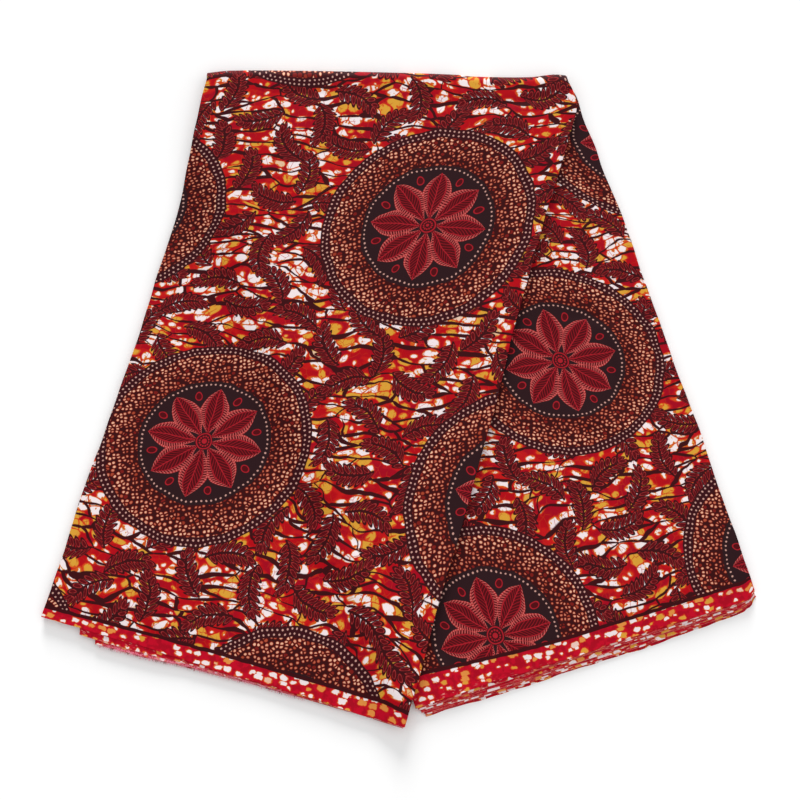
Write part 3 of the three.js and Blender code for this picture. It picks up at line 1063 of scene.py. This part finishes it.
# %% Leaf sprays
SPRAY_BOX = 57.0
SPRAY_HALF = 21.5
LEAFLET_PITCH = 5.8
LEAFLET = {"half_wide": 2.15, "half_long": 4.0, "from_stem": 4.6, "slant": 0.75}
SPRAY_STRAY = 3.0  # how far a spray may lie from its box's middle, from end to end
SPRAY_BOW = 0.026


def leaf_sprays(x, y, shift, seed):
    """Where one grid of sprays is dark, where its pink lines are, and where its leaflets are filled."""
    column, row = ((v / SPRAY_BOX + shift).math("FLOOR") for v in (x, y))
    turn, across, bend = chance(column, row, seed)
    local_x = x - (column + 0.5 - shift) * SPRAY_BOX - (across - 0.5) * SPRAY_STRAY
    local_y = y - (row + 0.5 - shift) * SPRAY_BOX - (bend - 0.5) * SPRAY_STRAY
    angle = turn * (2 * math.pi)
    cosine, sine = angle.math("COSINE"), angle.math("SINE")
    along = local_x * cosine + local_y * sine
    away = local_y * cosine - local_x * sine
    away = away - (bend.above(0.5, 0.01) - 0.5) * SPRAY_BOW * along * along

    taper = 1.12 - (along * along) * 0.0009
    off_stem = away.size() / taper
    slanted = along - LEAFLET["slant"] * off_stem + away.above(0, 0.01) * (LEAFLET_PITCH / 2)
    inside = slanted.within(LEAFLET_PITCH / 2)
    reach = (slanted - inside).size().below(SPRAY_HALF - 4, 0.1)
    outwards = (off_stem - LEAFLET["from_stem"]) / LEAFLET["half_long"]
    leaflet = length_of(inside / LEAFLET["half_wide"], outwards) + (1 - reach) * 9
    tip = length_of((along - SPRAY_HALF + 1) / 4.2, away / 2.3)
    leaflet = leaflet.both(tip)
    stem = away.size() + along.size().above(SPRAY_HALF, 0.5) * 9
    dark = leaflet.below(1.37, 0.14).either(stem.below(1.1, 0.5))
    patchy = 0.35 + 0.65 * noise(x, y, 2.2).above(0.42, 0.3)
    return dark, leaflet.between(0.70, 0.90, 0.16) * patchy, leaflet.below(0.8, 0.1)


# %% [markdown]
# ## Rosettes
#
# The large figures of this cloth are plain round rosettes in a half-drop repeat: a dotted dark band, a
# band of pebbles, another dotted band, and a flower of eight petals drawn in fine red line. All but the
# pebbles follow from the distance to its middle and the angle round it.

# %% Rosettes
ROSETTE_FIRST = (118.0, 205.0)
ROSETTE_HALF_STEP = (145.0, 235.0)
# Radii in millimetres: the whole, the pebble band and the flower's dark ground.
ROSETTE_EDGE, PEBBLE_EDGE, FLOWER_EDGE = 98, 89, 61
DOT_ROWS = ((95.6, 4.4), (91.6, 4.6), (57.6, 4.4))  # the radius of each ring of dots, and its pitch
DOT = 0.85
PETALS = 8
PEBBLE_RANDOM = 0.8


def dot_row(radius, angle, at, pitch):
    """A ring of round pale dots."""
    count = round(2 * math.pi * at / pitch)
    beside = (angle * (count / (2 * math.pi))).within(0.5) * (2 * math.pi * at / count)
    return length_of(beside, radius - at).below(DOT, 0.5)


def nearest_rosette(x, y):
    """Distance from the middle of the nearest rosette, and the angle round it."""
    spots = []
    for shift in (0, 1):
        middles = [first + shift * half for first, half in zip(ROSETTE_FIRST, ROSETTE_HALF_STEP)]
        offsets = [value - middle for value, middle in zip((x, y), middles)]
        spots.append([offset.within(half) for offset, half in zip(offsets, ROSETTE_HALF_STEP)])
    near = (length_of(*spots[0]) - length_of(*spots[1])).below(0, 0.001)
    local_x, local_y = (b + (a - b) * near for a, b in zip(*spots))
    wobble = (noise(x, y, 24) - 0.5) * 3.0
    return length_of(local_x, local_y) + wobble, local_y.math("ARCTAN2", local_x)


def pebbles(x, y, radius):
    """The colour of the pebble band: small dark stones inside, larger and paler ones outside."""
    outside = radius.above(75, 32)
    u, v = x * 0.225 + y * 0.08, (y * 0.225 - x * 0.08) * 1.12
    nearest = cells(u, v, random=PEBBLE_RANDOM)
    kind, size, _ = split(nearest.outputs["Color"])
    to_edge = Wire(cells(u, v, "DISTANCE_TO_EDGE", random=PEBBLE_RANDOM).outputs["Distance"])
    depth = (to_edge * 1.25).both(0.54 - Wire(nearest.outputs["Distance"])) + 0.06 * outside
    depth = depth - 0.12 * size * (1.3 - outside)
    red = paint(PEBBLE_GROUND, PEBBLE_RED, depth.above(0.10, 0.08))
    orange = paint(red, PEBBLE_ORANGE, depth.above(0.19, 0.09) * kind.above(0.06, 0.02))
    pale = paint(TAN, CREAM, outside.both(kind.above(0.35, 0.5)))
    return paint(orange, pale, depth.above(0.28, 0.10) * kind.above(0.10, 0.1))


def flower(radius, angle, under):
    """Eight petals with a rope edge, chevron veins and a round middle."""
    inner, outer, widest = 5.0, 53.5, 13.2
    share = ((radius - inner) / (outer - inner)).both(0.999).either(0.001)
    half_wide = (share.math("POWER", 1.35) * math.pi).math("SINE") * widest + 0.15
    beside = (angle.within(math.pi / PETALS) * radius).size()
    across = beside / half_wide
    inside = radius.between(inner, outer, 0.4)
    petal = paint(under, PETAL_DARK, across.below(1.0, 0.08) * inside)
    rope = (radius / 2.3 + across * 0.8).part().below(0.45, 0.2) * across.between(0.64, 0.9, 0.06)
    veins = ((radius - 1.3 * beside) / 3.6).part().below(0.22, 0.16) * across.below(0.56, 0.08)
    petal = paint(petal, LINE_RED, veins * inside)
    petal = paint(petal, ROPE_PINK, rope * inside)
    lines = across.between(0.88, 1.02, 0.07).either(across.between(0.54, 0.62, 0.05))
    lines = lines.either(beside.below(0.45, 0.3)) * inside
    petal = paint(petal, PETAL_LINE, lines)
    beads = (radius / 2.1).part().between(0.25, 0.75, 0.3) * across.between(0.9, 1.0, 0.06)
    petal = paint(petal, BEAD_PINK, beads * inside * 0.8)
    between_petals = ((angle + math.pi / PETALS).within(math.pi / PETALS) * radius).size()
    bud = length_of(between_petals / 3.4, (radius - 47.5) / 4.6)
    petal = paint(petal, PETAL_DARK, bud.below(1.0, 0.1))
    petal = paint(petal, PETAL_LINE, bud.between(0.74, 0.98, 0.1))
    petal = paint(petal, MAROON, radius.below(8.6, 0.3))
    middle = radius.between(6.6, 7.8, 0.3).either(radius.below(2.2, 0.3))
    middle = middle.either(dot_row(radius, angle, 4.4, 2.3))
    return paint(petal, PETAL_LINE, middle)


def rosettes(x, y, under):
    """Lays the rosettes on the colour under."""
    radius, angle = nearest_rosette(x, y)
    figure = paint(PLUM, pebbles(x, y, radius), radius.below(PEBBLE_EDGE, 0.4))
    figure = paint(figure, DEEP, radius.below(FLOWER_EDGE, 0.4))
    figure = flower(radius, angle, figure)
    first, second, third = (dot_row(radius, angle, at, pitch) for at, pitch in DOT_ROWS)
    figure = paint(figure, DOT_CREAM, first.either(second).either(third))
    return paint(under, figure, radius.below(ROSETTE_EDGE, 0.5))


# %% [markdown]
# ## The selvedge
#
# Along both edges of the cloth runs a narrow red band with pale flecks, and a dark line parts it from
# the print. A maker's lettering may stand in that band on some cloths; here it is left bare.

# %% Selvedge band
LINE_WIDE = 3.4  # the dark line beside the band
FLECK_CELL = (9.8, 6.2)
# The stretch of the cloth's length whose edge has begun to fray: the upper layer of one leaf.
FRAYED_STRETCH = (START["leaf"] + START["leaf_step"], START["leaf"] + 2 * START["leaf_step"])


def selvedge(x, y, under):
    """Lays the two selvedge bands on the colour under."""
    inwards = y.both(CLOTH_WIDTH - y)
    edge = inwards + (noise(x, y, 12, detail=2) - 0.5) * 1.6
    bent_x, bent_y = (v + (noise(x + shift, y, 6) - 0.5) * 3.0 for v, shift in ((x, 0), (y, 70)))
    wide, high = FLECK_CELL
    flecks = cells(bent_x / wide, bent_y / high, metric="MINKOWSKI", random=0.95)
    kind, size, _ = split(flecks.outputs["Color"])
    crowd = noise(x, y + 150, 22).above(0.46, 0.3)
    depth = 0.08 + 0.15 * crowd + 0.24 * size - Wire(flecks.outputs["Distance"])
    depth = depth + (noise(x, y, 2.4) - 0.5) * 0.20 - 0.6 * kind.below(0.15, 0.01)
    band = paint(SELVEDGE_RED, CRIMSON, noise(x, y + 40, 7, detail=2).above(0.5, 0.14) * 0.75)
    band = paint(band, SCARLET, depth.above(-0.12, 0.12))
    band = paint(band, ORANGE, depth.above(-0.05, 0.05))
    band = paint(band, FLECK_GOLD, depth.above(-0.005, 0.06))
    band = paint(band, YELLOW, depth.above(0.08, 0.1) * kind.below(0.3, 0.02))
    band = paint(band, WHITE, depth.above(0.03, 0.06) * kind.above(0.48, 0.02))
    # Pale pink dashes near the edge are painted highlight, for the stacked leaf edges catching the light.
    edge_highlight_dashes = noise(x * 0.22, y, 1.2).above(0.66, 0.08)
    edge_highlight_dashes = edge_highlight_dashes * noise(x, y + 77, 14).above(0.5, 0.1)
    band = paint(band, EDGE_HIGHLIGHT_PINK, edge_highlight_dashes * inwards.below(9, 6) * 0.7)
    # A pale rim of up to about a millimetre along the cloth's edge, broken by noise, is painted highlight
    # too.
    patchy = noise(x, y, 5, detail=3, rough=0.7).above(0.5, 0.3) * 1.1
    band = paint(band, EDGE_HIGHLIGHT_PINK, (inwards - patchy).below(0.0, 0.4) * 0.25)
    frayed_stretch = x.between(*FRAYED_STRETCH, 20)
    loose = noise(x, y, 1.4, detail=2).above(0.46, 0.16) * inwards.below(2.2, 1.6)
    loose = loose * noise(x, y + 30, 7).above(0.40, 0.2)
    band = paint(band, FRAY_ROSE, loose * frayed_stretch)
    bordered = paint(under, MAROON, edge.below(BAND + LINE_WIDE, 0.5))
    return paint(bordered, band, edge.below(BAND, 0.5))


# %% [markdown]
# ## One cloth, one material
#
# Every stretch of the cloth has the same print, so all of them share one material, which reads its
# place from the "print" map. Four patterns are laid on one another here: the ground, the leaf sprays,
# the rosettes and the selvedges. Drawn figures are never quite even, so soft noise bends the sprays and
# the rosettes a little. The weave is so fine that a bump is enough for it.

# %% The whole print as one material
WEAVE_PITCH = 0.7
WEAVE_DEPTH = 0.00006  # in metres, as the bump node reads it
HAND_SHAKE = 2.6
SPRAY_GRIDS = ((0.0, 3.0), (0.5, 11.0))  # the shift of each grid of sprays, in boxes, and its seed


def wax_print():
    material = bpy.data.materials.new("wax print cotton")
    material.use_nodes = True
    tree = material.node_tree
    shader = tree.nodes["Principled BSDF"]
    flat_cloth = tree.nodes.new("ShaderNodeUVMap")
    flat_cloth.uv_map = "print"
    x, y, _ = split(flat_cloth.outputs["UV"])

    hand_x = x + (noise(x, y, 17) - 0.5) * HAND_SHAKE
    hand_y = y + (noise(x + 300, y, 17) - 0.5) * HAND_SHAKE
    cloth = ground(x, y)
    for shift, seed in SPRAY_GRIDS:
        dark, line, fill = leaf_sprays(hand_x, hand_y, shift, seed)
        cloth = paint(cloth, MAROON, dark)
        cloth = paint(cloth, LEAF_DARK, fill)
        cloth = paint(cloth, LINE_PINK, line)
    cloth = rosettes(hand_x, hand_y, cloth)
    cloth = selvedge(x, y, cloth)
    plug(cloth, shader.inputs["Base Color"])

    threads = [(v * (2 * math.pi / WEAVE_PITCH)).math("SINE") for v in (x, y)]
    weave = threads[0] * threads[1]
    bump = tree.nodes.new("ShaderNodeBump")
    bump.inputs["Strength"].default_value = 0.4
    bump.inputs["Distance"].default_value = WEAVE_DEPTH
    plug(weave, bump.inputs["Height"])
    plug(bump.outputs["Normal"], shader.inputs["Normal"])
    shader.inputs["Roughness"].default_value = 0.55
    shader.inputs["Specular IOR Level"].default_value = 0.06
    shader.inputs["Sheen Weight"].default_value = 0.01
    shader.inputs["Sheen Roughness"].default_value = 0.5
    print("the print has", len(tree.nodes), "nodes")
    return material


print_material = wax_print()
cloth_pieces = [left_leg_cloth, right_leg_cloth, left_leg_under, right_leg_under, folded_layers]
cloth_pieces += leaves["left"] + leaves["right"]
for piece in cloth_pieces:
    piece.data.materials.append(print_material)

# %% [markdown]
# ## Frayed threads
#
# The edge of the second leaf on the left leg has begun to fray. A Geometry Nodes tree walks along the
# edge, sets a short bent thread at each step with a lean and a length of its own, and makes them real.

# %% Fringe tree
def fringe_tree():
    tree = bpy.data.node_groups.new("frayed edge", "GeometryNodeTree")
    sockets = tree.interface
    sockets.new_socket("Geometry", in_out="INPUT", socket_type="NodeSocketGeometry")
    for name in ("Spacing", "Thread Length", "Thread Thickness"):
        sockets.new_socket(name, in_out="INPUT", socket_type="NodeSocketFloat")
    sockets.new_socket("Lean", in_out="INPUT", socket_type="NodeSocketVector")
    sockets.new_socket("Seed", in_out="INPUT", socket_type="NodeSocketInt")
    sockets.new_socket("Material", in_out="INPUT", socket_type="NodeSocketMaterial")
    sockets.new_socket("Geometry", in_out="OUTPUT", socket_type="NodeSocketGeometry")

    def add(kind, settings=(), **links):
        node = tree.nodes.new(kind)
        for name, value in dict(settings).items():
            setattr(node, name, value)
        for name, source in links.items():
            name = name.replace("_", " ")
            if isinstance(source, bpy.types.NodeSocket):
                tree.links.new(source, node.inputs[name])
            else:
                node.inputs[name].default_value = source
        return node

    given = tree.nodes.new("NodeGroupInput").outputs
    by_length = {"mode": "LENGTH"}
    steps = add("GeometryNodeCurveToPoints", by_length, Curve=given["Geometry"], Length=given["Spacing"])
    bend = add("GeometryNodeCurveQuadraticBezier", Resolution=3, Middle=(0.1, 0, 0.55), End=(-0.1, 0, 1))
    bend.inputs["Start"].default_value = (0, 0, 0)
    ratio = add("ShaderNodeMath", {"operation": "DIVIDE"})
    tree.links.new(given["Thread Thickness"], ratio.inputs[0])
    tree.links.new(given["Thread Length"], ratio.inputs[1])
    ring = add("GeometryNodeCurvePrimitiveCircle", Resolution=4, Radius=ratio.outputs[0])
    thread = add("GeometryNodeCurveToMesh", Curve=bend.outputs[0], Profile_Curve=ring.outputs[0])
    thread.inputs["Fill Caps"].default_value = True
    a_vector = {"data_type": "FLOAT_VECTOR"}
    stray = add("FunctionNodeRandomValue", a_vector, Min=(-0.7, -0.45, -0.25), Max=(0.7, 0.45, 0.2))
    tree.links.new(given["Seed"], stray.inputs["Seed"])
    lean = add("ShaderNodeVectorMath")
    tree.links.new(given["Lean"], lean.inputs[0])
    tree.links.new(stray.outputs["Value"], lean.inputs[1])
    turned = add("FunctionNodeAlignRotationToVector", {"axis": "Z"}, Vector=lean.outputs[0])
    long = add("FunctionNodeRandomValue", {"data_type": "FLOAT"}, Min=0.35, Max=1.25)
    tree.links.new(given["Seed"], long.inputs["Seed"])
    grown = add("ShaderNodeMath", {"operation": "MULTIPLY"})
    tree.links.new(long.outputs["Value"], grown.inputs[0])
    tree.links.new(given["Thread Length"], grown.inputs[1])
    threads = add(
        "GeometryNodeInstanceOnPoints",
        Points=steps.outputs[0],
        Instance=thread.outputs[0],
        Rotation=turned.outputs[0],
        Scale=grown.outputs[0],
    )
    real = add("GeometryNodeRealizeInstances", Geometry=threads.outputs[0])
    painted = add("GeometryNodeSetMaterial", Geometry=real.outputs[0], Material=given["Material"])
    tree.links.new(painted.outputs[0], tree.nodes.new("NodeGroupOutput").inputs[0])
    return tree


# %% Threads along the frayed edge
THREAD_PINK = srgb(244, 168, 184)
thread_material = bpy.data.materials.new("frayed cotton")
thread_material.use_nodes = True
thread_tree = thread_material.node_tree
thread_shader = thread_tree.nodes["Principled BSDF"]
where = thread_tree.nodes.new("ShaderNodeTexCoord").outputs["Object"]
along_x, along_y, _ = split(where)
dyed = noise(along_x / MM, along_y / MM, 5.0)
tint = paint(THREAD_PINK, LINE_RED, dyed.above(0.6, 0.12))
plug(tint, thread_shader.inputs["Base Color"])
thread_shader.inputs["Roughness"].default_value = 0.8
FRINGE = fringe_tree()
# Lengths in metres.
THREADS = {
    "Spacing": 0.00035,
    "Thread Length": 0.0022,
    "Thread Thickness": 0.00013,
    "Lean": (-0.29, -0.95, -0.04),
    "Seed": 5,
    "Material": thread_material,
}
FRAYED_COLUMNS = slice(1, 66)  # the stretch of the leaf's edge that has frayed


def threads_along(name, points):
    """Threads along a line of points in metres."""
    curve = bpy.data.curves.new(name + " line", "CURVE")
    curve.dimensions = "3D"
    spline = curve.splines.new("POLY")
    spline.points.add(len(points) - 1)
    spline.points.foreach_set("co", np.column_stack([points, np.ones(len(points))]).reshape(-1))
    line = new_object(name + " line", curve)
    grow = line.modifiers.new("fringe", "NODES")
    grow.node_group = FRINGE
    names = {item.name: item.identifier for item in FRINGE.interface.items_tree if item.in_out == "INPUT"}
    for label, value in THREADS.items():
        grow[names[label]] = value
    bpy.context.view_layer.update()
    evaluated = line.evaluated_get(bpy.context.evaluated_depsgraph_get())
    mesh = bpy.data.meshes.new_from_object(evaluated)
    mesh.name = name
    bpy.data.objects.remove(line)
    return new_object(name, mesh)


# The free edge of a left leaf is the first row of its grid, and its upper layer comes first.
leaf_vertices = leaves["left"][1].data.vertices
places = np.zeros(3 * len(leaf_vertices), np.float32)
leaf_vertices.foreach_get("co", places)
upper_edge = places.reshape(-1, 3)[: LEAF_COLUMNS + 1]
upper_edge = upper_edge[np.argsort(upper_edge[:, 0])]
frayed = threads_along("frayed_edge", upper_edge[FRAYED_COLUMNS])
report(frayed)

# %% [markdown]
# ## What each piece stands for
#
# Every piece rides on the one body of a cloth without joints and takes the place of its solid in the
# imported model, which is hidden.

# %% Bodies and replaced solids
LEG_LONG = LEG_LENGTH * MM
stands_for = {
    left_leg_cloth: ("left_leg_face", LEG_LONG + FOLD_LENGTH * MM, ["left_leaf_1"]),
    right_leg_cloth: ("right_leg_face", LEG_LONG, ["right_leaf_1"]),
    left_leg_under: ("left_leg_underside", LEG_LONG, ["right_leg_cloth", "floor"]),
    right_leg_under: ("right_leg_underside", LEG_LONG, ["floor"]),
}
for piece, (node, long, rests_on) in stands_for.items():
    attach(piece, "root")
    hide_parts(node)

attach(folded_layers, "root")
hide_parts("hidden_layers")

LEAF_NODES = {
    ("left", 0): "left_selvedge_2",
    ("left", 1): "left_selvedge_3",
    ("right", 0): "right_selvedge_2",
    ("right", 2): "right_selvedge_3",
    ("right", 4): "right_selvedge_4",
}
for leg, pieces in leaves.items():
    for number, leaf in enumerate(pieces):
        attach(leaf, "root")
        if (leg, number) in LEAF_NODES:
            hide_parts(LEAF_NODES[leg, number])
        beneath = f"{leg}_leaf_{number + 2}" if number + 1 < NOSES else f"{leg}_leg_under"

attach(frayed, "root")

# %% [markdown]
# ## Floor and light
#
# A bright sky overhead gives even colour. A wide low light from the far side, like a window across the
# room, gives a soft shadow along the edges that turn towards the viewer, and rakes over the creases.

# %% Floor, window and sky
FLOOR_HALF = 12.0
floor_mesh = bpy.data.meshes.new("floor")
floor_mesh.from_pydata(
    [(x * FLOOR_HALF, y * FLOOR_HALF, 0.0) for x, y in ((-1, -1), (1, -1), (1, 1), (-1, 1))],
    [],
    [(0, 1, 2, 3)],
)
floor = new_object("floor", floor_mesh)
floor_material = bpy.data.materials.new("pale floor")
floor_material.use_nodes = True
floor_shader = floor_material.node_tree.nodes["Principled BSDF"]
floor_shader.inputs["Base Color"].default_value = (0.97, 0.97, 0.97, 1)
floor_shader.inputs["Roughness"].default_value = 0.9
floor_shader.inputs["Specular IOR Level"].default_value = 0.1
floor_mesh.materials.append(floor_material)

WINDOW_ELEVATION = math.radians(16)
WINDOW_ACROSS = math.radians(22)
WINDOW_STRENGTH = 3.1

window = bpy.data.lights.new("far window", "SUN")
window.angle = WINDOW_ACROSS
window.energy = WINDOW_STRENGTH
window_holder = bpy.data.objects.new("far window", window)
shines = Vector((0.0, -math.cos(WINDOW_ELEVATION), -math.sin(WINDOW_ELEVATION)))
window_holder.rotation_euler = shines.to_track_quat("-Z", "Y").to_euler()
bpy.context.scene.collection.objects.link(window_holder)

SKY_AT_HORIZON, SKY_OVERHEAD = 0.14, 1.11
SKY_TO_THE_RIGHT = 0.35  # how much more of its light comes from that side
sky = bpy.data.worlds.new("studio")
sky.use_nodes = True
sky_tree = sky.node_tree
rightwards, _, upwards = split(sky_tree.nodes.new("ShaderNodeTexCoord").outputs["Generated"])
brightness = upwards.math("MAXIMUM", 0) * (SKY_OVERHEAD - SKY_AT_HORIZON) + SKY_AT_HORIZON
brightness = brightness * (rightwards * SKY_TO_THE_RIGHT + 1)
background = sky_tree.nodes["Background"]
background.inputs["Color"].default_value = (1, 1, 1, 1)
plug(brightness, background.inputs["Strength"])
bpy.context.scene.world = sky
bpy.context.scene.view_settings.view_transform = "Standard"
